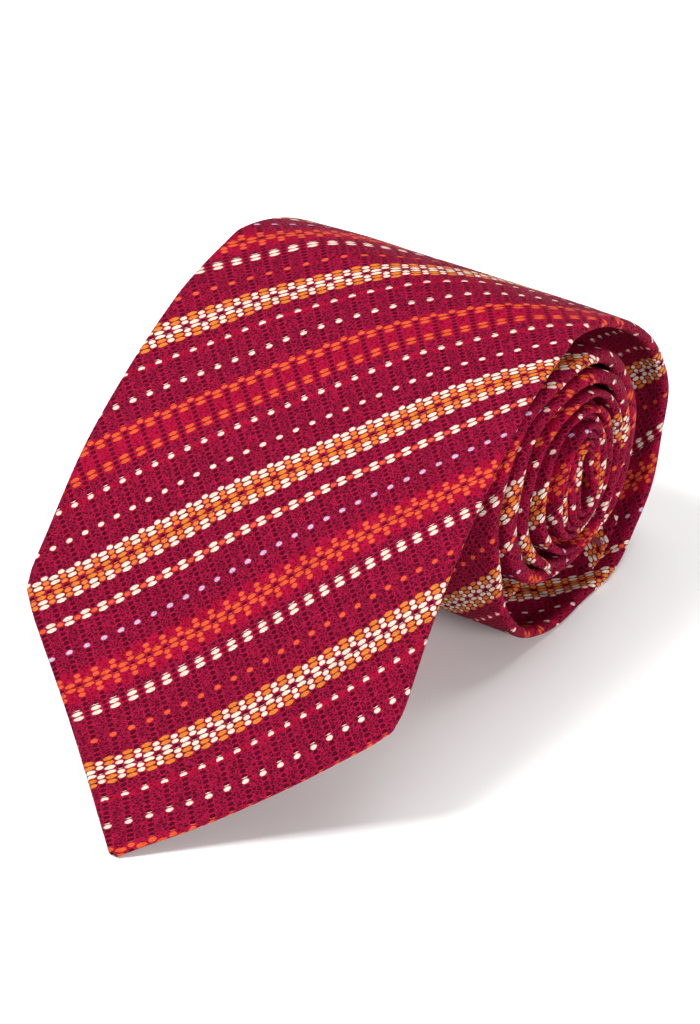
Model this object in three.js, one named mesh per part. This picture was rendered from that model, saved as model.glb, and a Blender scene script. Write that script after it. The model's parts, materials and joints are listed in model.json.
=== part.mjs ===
// A necktie, folded in half along its length and rolled up from the fold, with the wide end over the top.
// Millimetres. X runs along the roll's axis, the wide end hangs towards -Y, and +Z is up.
// The origin is under the middle of the rolled tie, on the surface that it lies on.
import * as THREE from "three";

// Driving dimensions of the tie laid flat.
const tieLength = 1480;
const bladeWidth = 88;
const neckWidth = 38;
const tailWidth = 50;
const bladeTaperLength = 640;
const tailTaperLength = 400;
const bladePieceLength = 760;
const tailPieceLength = 420;

// Cloth thicknesses, and the clearances between layers.
const shellThickness = 0.22;
const liningThickness = 0.35;
const tippingThickness = 0.15;
const threadThickness = 0.2;
const labelThickness = 0.25;
const clothClearance = 0.2;
const turnClearance = 0.21;
const seamClearance = 0.3;

// Folded edges, the opening along the back, and the hems at the points.
const foldRadius = 0.6;
const slitHalfWidth = 0.5;
const hemWidth = 9;
const backOpeningLength = 38;
const liningInset = 1.2;
const tippingInset = liningInset + 2;
const tippingUnderHem = 5;
const roomFade = 14;

// Where the pieces end and are seamed: distances from the points of the tie.
const pointTrim = 1.6;
const liningTrim = pointTrim + 3;
const tippingTrim = 7;
const liningSeamAt = 500;

// The roll: its core, the pitch of its turns, and the loose outer turn.
const coreHalfWidth = 3.15;
const coreHalfHeight = 8;
const pitchAcross = 4.58;
const pitchUp = 3;
const coreTurn = 0.5;
const innerTurns = 6;
const innerCentre = { y: 114.4, z: 37.7 };
const outerHalfWidth = 34;
const outerHalfHeight = 29.9;
const outerCentreY = 120.1;
const crestShift = 5.5;
const crestRise = 3.9;
const joinTurns = 0.13;
const liftTurns = 0.25;
const turnedBackDepth = 3;
const stationsPerTurn = 16;
const hangingSteps = 14;
const bendSteps = 6;

// How the turns' right-hand edges line up along the roll.
const edgeAtCorner = 44;
const edgeAtCrest = 35.8;
const edgeAtCore = 40.4;

// The line of the hanging wide end, from its point up to the crest: distance from the point, height.
const hangingLine = [
  [0, 0.5],
  [19.5, 10.6],
  [36.5, 24.2],
  [61, 45.4],
  [91, 60.2],
  [103.5, 63.1],
];

// Trim on the back.
const barTack = { across: 5, along: 1.2, fromBladePoint: 103, fromTailPoint: 58 };
const stitch = { halfWidth: 0.12, pastBladeTack: 2, pastTailTack: 12 };
const makerLabel = { across: 36, from: 85, to: 98 };
const careLabel = { across: 14, from: 50, to: 60, aside: 6 };
const keeperRoom = 2.5;
const keeper = {
  fromBladePoint: 224,
  along: 16,
  clearWidth: tailWidth / 2 + keeperRoom,
  foot: 6,
  thickness: 0.5,
  lift: 0.1,
};
const keeperTack = { across: 3.5, along: 1.5 };
const tailRoom = { extra: 1, length: 84, fade: 26 };
const tailShortening = 0.93;
const tailSpareRun = 20;

const layerThickness = 2 * shellThickness + 2 * clothClearance + liningThickness;
const half = layerThickness / 2;
const layerPitch = layerThickness + turnClearance;
const floorLine = half;
const outerCentreZ = floorLine + outerHalfHeight * Math.cos(Math.PI / stationsPerTurn);
const crestTurn = innerTurns + 0.5 + liftTurns;
const tippingRoom = tippingThickness + clothClearance;

const lerp = THREE.MathUtils.lerp;
const smoothstep = THREE.MathUtils.smoothstep;
const clamp = THREE.MathUtils.clamp;

// A point of the wide end's line in the roll. Turns are counted outwards, from a whole turn at the front.
function rollPoint(turns) {
  const angle = Math.PI * (1 + 2 * turns);
  const join = smoothstep(turns, innerTurns - joinTurns, innerTurns + joinTurns);
  const lift = smoothstep(turns, crestTurn - liftTurns, crestTurn);
  const wound = turns - coreTurn;
  const across = lerp(coreHalfWidth + pitchAcross * wound, outerHalfWidth, join);
  const up = lerp(coreHalfHeight + pitchUp * wound, outerHalfHeight, join) + crestRise * lift;
  const round = Math.min(across, up);
  const cos = snap(Math.cos(angle));
  const sin = snap(Math.sin(angle));
  const y = lerp(innerCentre.y, outerCentreY, join) - crestShift * lift;
  const z = lerp(innerCentre.z, outerCentreZ, join);
  const point = new THREE.Vector2(
    y + round * cos + (across - round) * Math.sign(cos),
    z + round * sin + (up - round) * Math.sign(sin),
  );
  const onFloor = point.y < floorLine + clothClearance;
  point.y = Math.max(point.y, floorLine);
  return { point, normal: onFloor ? new THREE.Vector2(0, -1) : new THREE.Vector2(cos, sin) };
}

function snap(value) {
  return Math.abs(value) < 1e-9 ? 0 : value;
}

// The wide end's stations from the core out to its point, each with its place and outward normal.
function bladeStations() {
  const stations = [];
  const fine = 2 * stationsPerTurn;
  for (let step = Math.round(coreTurn * fine); step <= Math.round(crestTurn * fine); step += 1) {
    const turns = step / fine;
    if (turns < innerTurns && step % 2 === 1) continue;
    stations.push({ ...rollPoint(turns), turns });
  }
  const crest = stations[stations.length - 1].point;
  const line = [[crest.x, crest.y], ...hangingLine.slice().reverse()];
  const curve = new THREE.SplineCurve(line.map(([y, z]) => new THREE.Vector2(y, z)));
  for (let step = 1; step <= hangingSteps; step += 1) {
    const at = step / hangingSteps;
    const tangent = curve.getTangentAt(at);
    stations.push({ point: curve.getPointAt(at), normal: new THREE.Vector2(tangent.y, -tangent.x) });
  }
  squareToTheLine(stations);
  return stations;
}

// Between the back of the outer turn and the crest the normals follow the line itself.
function squareToTheLine(stations) {
  const start = stations.findIndex((s) => s.point.y > outerCentreZ && isOuter(s));
  stations.forEach((station, i) => {
    if (i < start || i === stations.length - 1) return;
    const along = stations[i + 1].point.clone().sub(stations[i - 1].point);
    station.normal = new THREE.Vector2(along.y, -along.x).normalize();
  });
}

function isOuter(station) {
  return station.point.x > outerCentreY + outerHalfWidth - turnedBackDepth;
}

// Distance along a run of stations, from its last one back to each.
function addDistanceFromEnd(stations) {
  let distance = 0;
  for (let i = stations.length - 1; i >= 0; i -= 1) {
    if (i < stations.length - 1) distance += stations[i].point.distanceTo(stations[i + 1].point);
    stations[i].fromEnd = distance;
  }
}

function bladeHalfWidth(fromPoint) {
  const full = bladeWidth / 2;
  if (fromPoint < full) return fromPoint;
  return lerp(full, neckWidth / 2, clamp((fromPoint - full) / bladeTaperLength, 0, 1));
}

function tailHalfWidth(fromPoint) {
  const full = tailWidth / 2;
  if (fromPoint < full) return fromPoint;
  return lerp(full, neckWidth / 2, clamp((fromPoint - full) / tailTaperLength, 0, 1));
}

// Where the middle of the wide end lies along X: its right-hand edge leans in as it rises to the crest.
function bladeMiddle(fromPoint, crestDistance, foldDistance) {
  const corner = bladeWidth / 2;
  if (fromPoint < corner) return edgeAtCorner - corner;
  const rise = clamp((fromPoint - corner) / (crestDistance - corner), 0, 1);
  const wound = clamp((fromPoint - crestDistance) / (foldDistance - crestDistance), 0, 1);
  const edge = lerp(lerp(edgeAtCorner, edgeAtCrest, rise), edgeAtCore, wound);
  return edge - bladeHalfWidth(fromPoint);
}

// Half the gap between the two back edges: hems at the point, an open V, then the closed slit.
function backGap(fromPoint, fullHalfWidth) {
  const hem = hemWidth * Math.SQRT2;
  if (fromPoint < fullHalfWidth) return Math.max(slitHalfWidth, fromPoint - hem);
  const close = clamp((fromPoint - fullHalfWidth) / backOpeningLength, 0, 1);
  return lerp(fullHalfWidth - hem, slitHalfWidth, close);
}

// Room for the tipping behind the lining, near a point.
function roomAtPoint(fromPoint, fullHalfWidth) {
  const end = fullHalfWidth + backOpeningLength + hemWidth;
  return tippingRoom * (1 - smoothstep(fromPoint, end, end + roomFade));
}

// The whole tie as one run of stations, from the narrow end's point, round the fold, to the wide end's.
function tieStations() {
  const blade = bladeStations();
  addDistanceFromEnd(blade);
  const crestDistance = blade[blade.length - 1 - hangingSteps].fromEnd;
  const outerTurnStart = blade.findIndex((station) => station.turns >= crestTurn - 1);
  const outerTurnDistance = blade[outerTurnStart].fromEnd;
  const foldRadiusLine = layerPitch / 2;
  const bladeLength = blade[0].fromEnd;
  const tailLength = tieLength - bladeLength - Math.PI * foldRadiusLine;

  const tail = [];
  let run = 0;
  for (let i = 0; i < blade.length && run < tailLength + tailSpareRun; i += 1) {
    const outer = blade[i];
    const toPoint = tailLength - (bladeLength - outer.fromEnd) * tailShortening;
    const loosen = 1 - smoothstep(toPoint, tailRoom.length, tailRoom.length + tailRoom.fade);
    const point = outer.point.clone().addScaledVector(outer.normal, -layerPitch - tailRoom.extra * loosen);
    if (tail.length > 0) run += point.distanceTo(tail[0].point);
    tail.unshift({ point, normal: outer.normal.clone().negate(), run, bladeFromPoint: outer.fromEnd });
  }
  const fold = [];
  const first = blade[0];
  const middle = first.point.clone().addScaledVector(first.normal, -foldRadiusLine);
  const inward = new THREE.Vector2(first.normal.y, -first.normal.x);
  for (let step = 1; step < bendSteps; step += 1) {
    const angle = (Math.PI * step) / bendSteps;
    const normal = first.normal.clone().multiplyScalar(-Math.cos(angle));
    normal.addScaledVector(inward, Math.sin(angle));
    const point = middle.clone().addScaledVector(normal, foldRadiusLine);
    fold.push({ point, normal, bladeFromPoint: bladeLength });
  }
  blade.forEach((station) => {
    station.bladeFromPoint = station.fromEnd;
  });
  const stations = [...tail, ...fold, ...blade];
  addDistanceFromEnd(stations);
  stations.forEach((station) => {
    station.at = tieLength - station.fromEnd;
  });
  return { stations, crestDistance, outerTurnDistance, bladeLength };
}

const { stations: tie, crestDistance, outerTurnDistance, bladeLength } = tieStations();

// The station at a given distance from the narrow end's point.
function stationAt(at) {
  const next = tie.findIndex((station) => station.at >= at);
  const b = tie[Math.max(next, 1)];
  const a = tie[Math.max(next, 1) - 1];
  const mix = (at - a.at) / (b.at - a.at);
  return {
    at,
    point: a.point.clone().lerp(b.point, mix),
    normal: a.normal.clone().lerp(b.normal, mix).normalize(),
    bladeFromPoint: lerp(a.bladeFromPoint, b.bladeFromPoint, mix),
  };
}

// The stations of one piece, with extra ones where its outline has a corner.
function stretch(from, to, corners = []) {
  const inside = corners.filter((at) => at > from + leastStep && at < to - leastStep);
  const cuts = [from, ...inside, to];
  const clearOfCuts = (station) => cuts.every((at) => Math.abs(at - station.at) > leastStep);
  const between = tie.filter((s) => s.at > from && s.at < to && clearOfCuts(s));
  return [...cuts.map(stationAt), ...between].sort((p, q) => p.at - q.at);
}

const leastStep = 0.45;
const neckMiddleAt = tieLength / 2;

// Half-width, middle, back gap and tipping room of the tie at one station.
function outlineAt(station) {
  const fromBladePoint = tieLength - station.at;
  const middle = bladeMiddle(station.bladeFromPoint, crestDistance, bladeLength);
  if (station.at > neckMiddleAt) {
    return {
      middle,
      halfWidth: bladeHalfWidth(fromBladePoint),
      gap: backGap(fromBladePoint, bladeWidth / 2),
      room: roomAtPoint(fromBladePoint, bladeWidth / 2),
    };
  }
  return {
    middle,
    halfWidth: tailHalfWidth(station.at),
    gap: backGap(station.at, tailWidth / 2),
    room: roomAtPoint(station.at, tailWidth / 2),
  };
}

// Section points this far out keep their distance from a folded edge. Nearer ones stand at the slit.
const edgeMark = 100;
const slitMark = 1;

function fromEdge(side, inset, height) {
  return new THREE.Vector2(side * (edgeMark - inset), height);
}

function fromSlit(side, height) {
  return new THREE.Vector2(side * slitMark, height);
}

// Bend a straight extruded section along the stations. place() turns a section point into X and height.
function bendAlong(stations, section, place) {
  const depth = stations.length - 1;
  const geometry = new THREE.ExtrudeGeometry(new THREE.Shape(section), {
    depth,
    steps: depth,
    bevelEnabled: false,
  });
  const position = geometry.attributes.position;
  for (let i = 0; i < position.count; i += 1) {
    const station = stations[Math.round(position.getZ(i))];
    const { x, height } = place(station, position.getX(i), position.getY(i));
    const y = station.point.x + station.normal.x * height;
    const z = station.point.y + station.normal.y * height;
    position.setXYZ(i, x, y, z);
  }
  geometry.computeVertexNormals();
  return geometry;
}

function placeInOutline(station, u, height) {
  const outline = outlineAt(station);
  const side = Math.sign(u);
  const inset = edgeMark - Math.abs(u);
  const x = inset < edgeMark / 2 ? outline.halfWidth - inset : outline.gap;
  const back = height < -half / 2 ? outline.room : 0;
  return { x: outline.middle + side * x, height: height - back };
}

// The silk shell: front panel, two folded edges, and two backs that meet at the slit.
function shellGeometry(stations) {
  const inner = half - shellThickness;
  const section = [
    fromSlit(1, -half),
    fromEdge(1, foldRadius, -half),
    fromEdge(1, 0, 0),
    fromEdge(1, foldRadius, half),
    fromEdge(-1, foldRadius, half),
    fromEdge(-1, 0, 0),
    fromEdge(-1, foldRadius, -half),
    fromSlit(-1, -half),
    fromSlit(-1, -inner),
    fromEdge(-1, foldRadius, -inner),
    fromEdge(-1, shellThickness, 0),
    fromEdge(-1, foldRadius, inner),
    fromEdge(1, foldRadius, inner),
    fromEdge(1, shellThickness, 0),
    fromEdge(1, foldRadius, -inner),
    fromSlit(1, -inner),
  ];
  return bendAlong(stations, section, placeInOutline);
}

function liningGeometry(stations) {
  const top = liningThickness / 2;
  const section = [
    fromEdge(1, liningInset, -top),
    fromEdge(1, liningInset, top),
    fromEdge(-1, liningInset, top),
    fromEdge(-1, liningInset, -top),
  ];
  return bendAlong(stations, section, placeInOutline);
}

// The tipping lies behind the lining and runs in under the hems and the backs.
function tippingGeometry(stations) {
  const near = liningThickness / 2 + clothClearance;
  const section = box(-1, 1, -near - tippingThickness, -near);
  return bendAlong(stations, section, (station, u, height) => {
    const outline = outlineAt(station);
    const x = Math.min(outline.halfWidth - tippingInset, outline.gap + tippingUnderHem);
    return { x: outline.middle + u * x, height };
  });
}

// The slip stitch: one thread in the slit between the two backs.
function slipStitchGeometry(stations) {
  const section = [
    new THREE.Vector2(stitch.halfWidth, -half),
    new THREE.Vector2(0, -half + threadThickness),
    new THREE.Vector2(-stitch.halfWidth, -half),
  ];
  return bendAlong(stations, section, (station, u, height) => {
    const outline = outlineAt(station);
    return { x: outline.middle + u, height: height - outline.room };
  });
}

function box(left, right, bottom, top) {
  return [
    new THREE.Vector2(left, bottom),
    new THREE.Vector2(right, bottom),
    new THREE.Vector2(right, top),
    new THREE.Vector2(left, top),
  ];
}

// A flat patch on the back of the tie, a clearance away from it.
function patchGeometry(from, to, aside, across, thickness, surface) {
  const top = -surface - clothClearance;
  const section = box(-across / 2, across / 2, top - thickness, top);
  return bendAlong(stretch(from, to), section, (station, u, height) => {
    const outline = outlineAt(station);
    return { x: outline.middle + aside + u, height: height - outline.room };
  });
}

// The keeper: a band that stands on two feet on the wide end's back and passes over the narrow end.
function keeperGeometry(from, to) {
  const foot = -half - clothClearance;
  const band = -layerPitch - tailRoom.extra - half - clothClearance - keeper.lift;
  const t = keeper.thickness;
  const inner = keeper.clearWidth;
  const outer = inner + keeper.foot;
  const right = [
    [outer, foot - t],
    [outer, foot],
    [inner, foot],
    [inner, band],
  ];
  const left = right.map(([x, y]) => [-x, y]).reverse();
  const outside = [
    [-outer, foot - t],
    [-inner - t, foot - t],
    [-inner - t, band - t],
    [inner + t, band - t],
    [inner + t, foot - t],
  ];
  const section = [...outside, ...right, ...left.slice(0, 3)].map(([x, y]) => new THREE.Vector2(x, y));
  return bendAlong(stretch(from, to), section, (station, u, height) => {
    return { x: outlineAt(station).middle + u, height };
  });
}

// Finishes of the five kinds of material.
const silk = { color: 0x7a1230, roughness: 0.55, metalness: 0 };
const wool = { color: 0xe9e2d2, roughness: 0.95, metalness: 0 };
const acetate = { color: 0x5c0f26, roughness: 0.4, metalness: 0 };
const thread = { color: 0x8a1533, roughness: 0.6, metalness: 0 };
const tape = { color: 0xefe7d8, roughness: 0.7, metalness: 0 };

const group = new THREE.Group();

function addPart(name, geometry, look) {
  const mesh = new THREE.Mesh(geometry, new THREE.MeshStandardMaterial(look));
  mesh.name = name;
  group.add(mesh);
  return mesh;
}

// Distances from a point where the outline or the back gap has a corner.
function cornersOf(fullHalfWidth) {
  return [fullHalfWidth, fullHalfWidth + backOpeningLength, hemWidth * Math.SQRT2 + slitHalfWidth];
}

// Distances along the tie from the narrow end's point.
const crestAt = tieLength - crestDistance;
const outerTurnAt = tieLength - outerTurnDistance;
const seam = seamClearance / 2;
const bladeSeamAt = tieLength - bladePieceLength;
const bladeCornersAt = cornersOf(bladeWidth / 2).map((fromPoint) => tieLength - fromPoint);
const tailCornersAt = cornersOf(tailWidth / 2);
const slitEndBlade = tieLength - barTack.fromBladePoint - stitch.pastBladeTack;
const slitEndTail = barTack.fromTailPoint + stitch.pastTailTack;

const hangingFrom = crestAt + seam;
const bladeEnd = tieLength - pointTrim;

// Shell: the front blade's hanging part, its outer turn and its inner turns, then the neck and the tail.
addPart("front_blade", shellGeometry(stretch(hangingFrom, bladeEnd, bladeCornersAt)), silk);
addPart("front_blade_outer_turn", shellGeometry(stretch(outerTurnAt + seam, crestAt - seam)), silk);
addPart("front_blade_inner_turns", shellGeometry(stretch(bladeSeamAt + seam, outerTurnAt - seam)), silk);
addPart("neck", shellGeometry(stretch(tailPieceLength + seam, bladeSeamAt - seam)), silk);
addPart("tail_blade", shellGeometry(stretch(pointTrim, tailPieceLength - seam, tailCornersAt)), silk);

// Interlining, seamed at the neck.
const liningEnd = tieLength - liningTrim;
addPart("interlining_hanging", liningGeometry(stretch(hangingFrom, liningEnd, bladeCornersAt)), wool);
addPart("interlining_blade", liningGeometry(stretch(liningSeamAt + seam, crestAt - seam)), wool);
addPart("interlining_tail", liningGeometry(stretch(liningTrim, liningSeamAt - seam, tailCornersAt)), wool);

// Tippings behind the two points.
const bladeTippingTop = bladeWidth / 2 + backOpeningLength + hemWidth;
const tailTippingTop = tailWidth / 2 + backOpeningLength + hemWidth;
const bladeTipping = stretch(tieLength - bladeTippingTop, tieLength - tippingTrim, bladeCornersAt);
addPart("blade_tipping", tippingGeometry(bladeTipping), acetate);
addPart("tail_tipping", tippingGeometry(stretch(tippingTrim, tailTippingTop, tailCornersAt)), acetate);

// The slip stitch that closes the back, and the bar tacks at its two ends.
addPart("slip_stitch_hanging", slipStitchGeometry(stretch(hangingFrom, slitEndBlade)), thread);
addPart("slip_stitch_rolled", slipStitchGeometry(stretch(slitEndTail, crestAt - seam)), thread);
const bladeTackAt = tieLength - barTack.fromBladePoint;
const tailTackAt = barTack.fromTailPoint;
addPart("blade_bar_tack", tackAt(bladeTackAt, 0, barTack, half), thread);
addPart("tail_bar_tack", tackAt(tailTackAt, 0, barTack, half), thread);

function tackAt(at, aside, tack, surface) {
  return patchGeometry(at - tack.along / 2, at + tack.along / 2, aside, tack.across, threadThickness, surface);
}

// Labels, keeper and the keeper's tacks.
const makerAt = [tieLength - makerLabel.to, tieLength - makerLabel.from];
addPart("maker_label", patchGeometry(...makerAt, 0, makerLabel.across, labelThickness, half), tape);
const careAt = [tieLength - careLabel.to, tieLength - careLabel.from];
const tippingFace = liningThickness / 2 + clothClearance + tippingThickness - tippingRoom;
const care = patchGeometry(...careAt, -careLabel.aside, careLabel.across, labelThickness, tippingFace);
addPart("care_label", care, tape);
const keeperAt = tieLength - keeper.fromBladePoint;
addPart("keeper_loop", keeperGeometry(keeperAt - keeper.along, keeperAt), silk);
const keeperFace = half + clothClearance + keeper.thickness;
const tackAside = keeper.clearWidth + keeper.foot / 2 + keeper.thickness / 2;
const keeperMiddle = keeperAt - keeper.along / 2;
addPart("keeper_tack_left", tackAt(keeperMiddle, -tackAside, keeperTack, keeperFace), thread);
addPart("keeper_tack_right", tackAt(keeperMiddle, tackAside, keeperTack, keeperFace), thread);

// Put the origin under the middle of the rolled tie.
const bounds = new THREE.Box3().setFromObject(group);
const centre = bounds.getCenter(new THREE.Vector3());
group.position.set(-centre.x, -centre.y, -bounds.min.z);

export default group;
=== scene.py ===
import json
import math
from types import SimpleNamespace

import bpy
import numpy as np
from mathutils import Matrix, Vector


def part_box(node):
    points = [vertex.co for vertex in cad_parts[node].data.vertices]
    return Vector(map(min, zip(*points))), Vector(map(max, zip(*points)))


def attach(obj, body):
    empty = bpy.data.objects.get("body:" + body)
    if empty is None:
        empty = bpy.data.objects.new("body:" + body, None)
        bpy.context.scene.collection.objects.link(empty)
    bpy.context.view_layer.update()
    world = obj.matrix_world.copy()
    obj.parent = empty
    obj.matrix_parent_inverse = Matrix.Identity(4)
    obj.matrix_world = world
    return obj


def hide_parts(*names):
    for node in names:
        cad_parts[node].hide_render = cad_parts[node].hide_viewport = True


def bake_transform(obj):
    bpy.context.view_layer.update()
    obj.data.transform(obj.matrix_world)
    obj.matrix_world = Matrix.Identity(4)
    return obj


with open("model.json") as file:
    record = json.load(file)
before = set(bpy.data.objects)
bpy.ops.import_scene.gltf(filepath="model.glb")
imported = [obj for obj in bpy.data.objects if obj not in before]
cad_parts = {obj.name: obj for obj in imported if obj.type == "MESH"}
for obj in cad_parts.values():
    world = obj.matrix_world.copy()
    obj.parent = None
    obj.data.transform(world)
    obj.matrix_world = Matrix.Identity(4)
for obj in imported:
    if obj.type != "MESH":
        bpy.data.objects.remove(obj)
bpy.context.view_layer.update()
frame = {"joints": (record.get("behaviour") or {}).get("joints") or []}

bl_info = {
    "name": "Rolled necktie",
    "version": (1, 0, 0),
    "blender": (4, 5, 0),
    "location": "3D View > Sidebar > Necktie",
    "description": "Makes a striped woven-silk necktie, folded and rolled up, around its packed frame",
    "category": "Object",
}

# Settings are in metres. Everything worked out from them is in millimetres until its mesh is made.
MM = 0.001
UV_SCALE = 0.01  # the cloth map holds millimetres times this

# The hinge stands at the crest of the roll, on the cloth's outer face.
CREST = Vector(frame["joints"][0]["pos_m"]) / MM
BLADE_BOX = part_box("front_blade")


# ---------------------------------------------------------------- sizes and colours


def length(name, note, metres):
    """A length that can be set."""
    return bpy.props.FloatProperty(
        name=name, description=note, default=metres, precision=5, subtype="DISTANCE", unit="LENGTH"
    )


def colour(name, note, value):
    """A colour that can be set."""
    return bpy.props.FloatVectorProperty(name=name, description=note, default=value, size=3, subtype="COLOR")


class NecktieSizes(bpy.types.PropertyGroup):
    """Sizes of the flat tie and of its folded edges"""

    tie_length: length("Length", "Length of the whole tie", 1.48)
    blade_width: length("Blade", "Width of the wide end", 0.088)
    neck_width: length("Neck", "Width at the neck", 0.038)
    tail_width: length("Tail", "Width of the narrow end", 0.05)
    shell: length("Silk", "Thickness of the silk", 0.00022)
    layer: length("Layer", "Thickness of the folded tie", 0.00119)
    hem: length("Hem", "Width of the hem at the points", 0.009)
    rim: length("Rim", "Thickness of the soft folded edges", 0.0023)


class NecktieColours(bpy.types.PropertyGroup):
    """Colours of the silk's yarns"""

    ground: colour("Ground", "Burgundy ground of the silk", (0.086, 0.0018, 0.0135))
    # The shaded hollow colour is the burgundy ground darkened with painted shade, for the hollows between the yarns.
    shaded_hollow: colour("Hollow", "Dark hollows between the yarns", (0.040, 0.0008, 0.0070))
    net: colour("Net", "Crimson yarn round the hollows", (0.38, 0.0060, 0.0420))
    red: colour("Red", "Bright red bands", (0.235, 0.0010, 0.0165))
    cream: colour("Cream", "Cream floats", (0.88, 0.70, 0.56))
    ochre: colour("Ochre", "Ochre floats", (0.74, 0.200, 0.028))
    orange: colour("Orange", "Orange floats", (0.74, 0.098, 0.028))
    lavender: colour("Lavender", "Pale lavender floats", (0.56, 0.43, 0.60))


class NecktieSettings(bpy.types.PropertyGroup):
    """All settings of the rolled necktie"""

    sizes: bpy.props.PointerProperty(type=NecktieSizes)
    colours: bpy.props.PointerProperty(type=NecktieColours)


def sizes_in_mm():
    """The sizes that are set, in millimetres."""
    chosen = bpy.context.scene.necktie.sizes
    names = NecktieSizes.__annotations__
    return SimpleNamespace(**{name: round(getattr(chosen, name) / MM, 3) for name in names})


# ---------------------------------------------------------------- line of the cloth

# The cloth's line lies across X: rows of y (towards the back) and z (up).
# The roll is an oval spiral of inner turns, then one loose outer turn that rises to the crest.
CORE_HALF = (3.15, 8.0)
PITCH = (4.58, 3.0)
CORE_TURN = 0.5
INNER_TURNS = 6.0
CREST_TURN = 6.75
ROLL_POINTS = 2400
JOIN_TURNS = 0.13
LIFT_AFTER_TURNS = 0.5
INNER_CENTRE = (113.4, 37.7)
OUTER_HALF = (35.6, 30.6)
OUTER_CENTRE_Y = 121.4
STATIONS_PER_TURN = 16
CREST_SHIFT = 5.0
CREST_RISE = 6.8
CREST_Y = 114.6
CORNER_EASE = 4.0
FLOOR_EASE = 0.25

# The wide end hangs from the crest through these places down to its point.
HANGING_LINE = [(103.5, 65.6), (91, 61.4), (61, 45.4), (36.6, 23.6), (19.6, 9.8), (0, 0.4)]
LINE_STEP = 0.5
LINE_PASSES = 12

# The tail lies inside the wide end, with more room where its own tipping is.
LAYER_PITCH = 1.4
TAIL_SHARE = 0.93  # length of the tail's line to that of the wide end's round it
TAIL_ROOM = SimpleNamespace(extra=1.0, length=84.0, fade=26.0)

# Where the right edge stands in X, and how far the point lies from the blade's middle.
EDGE_AT_CORNER = 43.5
EDGE_AT_CREST = 34.4
EDGE_AT_CORE = 40.4
POINT_ASIDE = 2.8

# Widths: both ends narrow to the neck over these lengths, and their corners are a little soft.
BLADE_TAPER = 720.0
TAIL_TAPER = 400.0
CORNER_SOFT = 0.8
CORNER_REACH = 3.0

# The two backs nearly meet along the slit and open out towards the points.
SLIT = 0.5
BACK_OPENING = 38.0
POINT_OPENING = 0.4
LEAST_GAP = 0.01
TIPPING_ROOM = 0.35
TIPPING_FADE = 14.0

# The soft folded edges that show in the roll's end fill the turns, apart from a little air.
TURN_AIR = 0.35
PAIR_AIR = 0.5
BACK_AIR = 0.2
CREST_RIM = 1.75
TAIL_SEEN_WITHIN = (3.0, 7.0)
OUTER_FADE = (150, 200)  # past the crest
CREST_FADE = (-25, 30)
FOLD_FADE = (4, 22)  # from the fold in the core

# Waves: height, turn for each millimetre along the cloth and across it, and start.
EDGE_WANDER = [(0.45, 0.047, 0, 1.3), (0.35, 0.113, 0, 0), (0.2, 0.291, 0, 2)]
RIPPLE = [(0.16, 0.105, 0.052, 0.7), (0.18, 0.047, -0.118, 2.1), (0.07, 0.21, 0.17, 0)]
RIPPLE_IN_ROLL = 0.3
# The left edge sinks where the wide end goes over the crest.
DROOP = 2.6
DROOP_AT = 142.0
DROOP_REACH = 26.0


def smooth(x, low, high):
    """Smoothly from 0 to 1 as x goes from low to high."""
    t = np.clip((np.asarray(x, float) - low) / (high - low), 0, 1)
    return t * t * (3 - 2 * t)


def mix(a, b, t):
    return a + (b - a) * t


def waves(table, along, across=0):
    """Sum of the waves in a table, at places along and across the cloth."""
    return sum(height * np.sin(along * a + across * b + start) for height, a, b, start in table)


def catmull(points, steps):
    """A smooth line through the points, with a number of steps between each two."""
    p = np.array(points, float)
    p = np.vstack([2 * p[0] - p[1], p, 2 * p[-1] - p[-2]])
    t = np.linspace(0, 1, steps, endpoint=False)[:, None]
    out = []
    for a, b, c, d in zip(p, p[1:], p[2:], p[3:]):
        square, cube = 2 * a - 5 * b + 4 * c - d, 3 * b - a - 3 * c + d
        out.append(0.5 * (2 * b + (c - a) * t + square * t**2 + cube * t**3))
    return np.vstack(out + [p[-2:-1]])


def roll_line(floor):
    """The wide end's line in the roll, from the core out to the crest, no lower than the floor given."""
    turns = np.linspace(CORE_TURN, CREST_TURN, ROLL_POINTS)
    angle = math.pi * (1 + 2 * turns)
    join = smooth(turns, INNER_TURNS - JOIN_TURNS, INNER_TURNS + JOIN_TURNS)
    lift = smooth(turns, INNER_TURNS + LIFT_AFTER_TURNS, CREST_TURN)
    wound = turns - CORE_TURN
    across = mix(CORE_HALF[0] + PITCH[0] * wound, OUTER_HALF[0], join)
    up = mix(CORE_HALF[1] + PITCH[1] * wound, OUTER_HALF[1], join) + CREST_RISE * lift
    round_part = np.minimum(across, up)
    cos, sin = np.cos(angle), np.sin(angle)
    outer_z = floor + OUTER_HALF[1] * math.cos(math.pi / STATIONS_PER_TURN)
    y = mix(INNER_CENTRE[0], OUTER_CENTRE_Y, join) - CREST_SHIFT * lift
    z = mix(INNER_CENTRE[1], outer_z, join)
    # Straight stretches between the round ones are eased in, so that the cloth has no corners.
    y = y + round_part * cos + (across - round_part) * np.tanh(cos * CORNER_EASE)
    z = z + round_part * sin + (up - round_part) * np.tanh(sin * CORNER_EASE)
    z = floor + np.logaddexp(0, (z - floor) / FLOOR_EASE) * FLOOR_EASE
    return np.stack([y, z], 1)


def run_along(line):
    """Distance of each of a line's points from its start, along it."""
    return np.concatenate([[0], np.cumsum(np.linalg.norm(np.diff(line, axis=0), axis=1))])


def even(line, spacing):
    """The same line with its points evenly spaced, and their distances from its start."""
    length = run_along(line)
    count = max(2, int(length[-1] / spacing))
    at = np.linspace(0, length[-1], count)
    return np.stack([np.interp(at, length, line[:, k]) for k in range(line.shape[1])], 1), at


def soften(line, passes):
    """Moves each point towards its neighbours, a number of times over."""
    for _ in range(passes):
        line[1:-1] = 0.25 * line[:-2] + 0.5 * line[1:-1] + 0.25 * line[2:]
    return line


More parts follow.
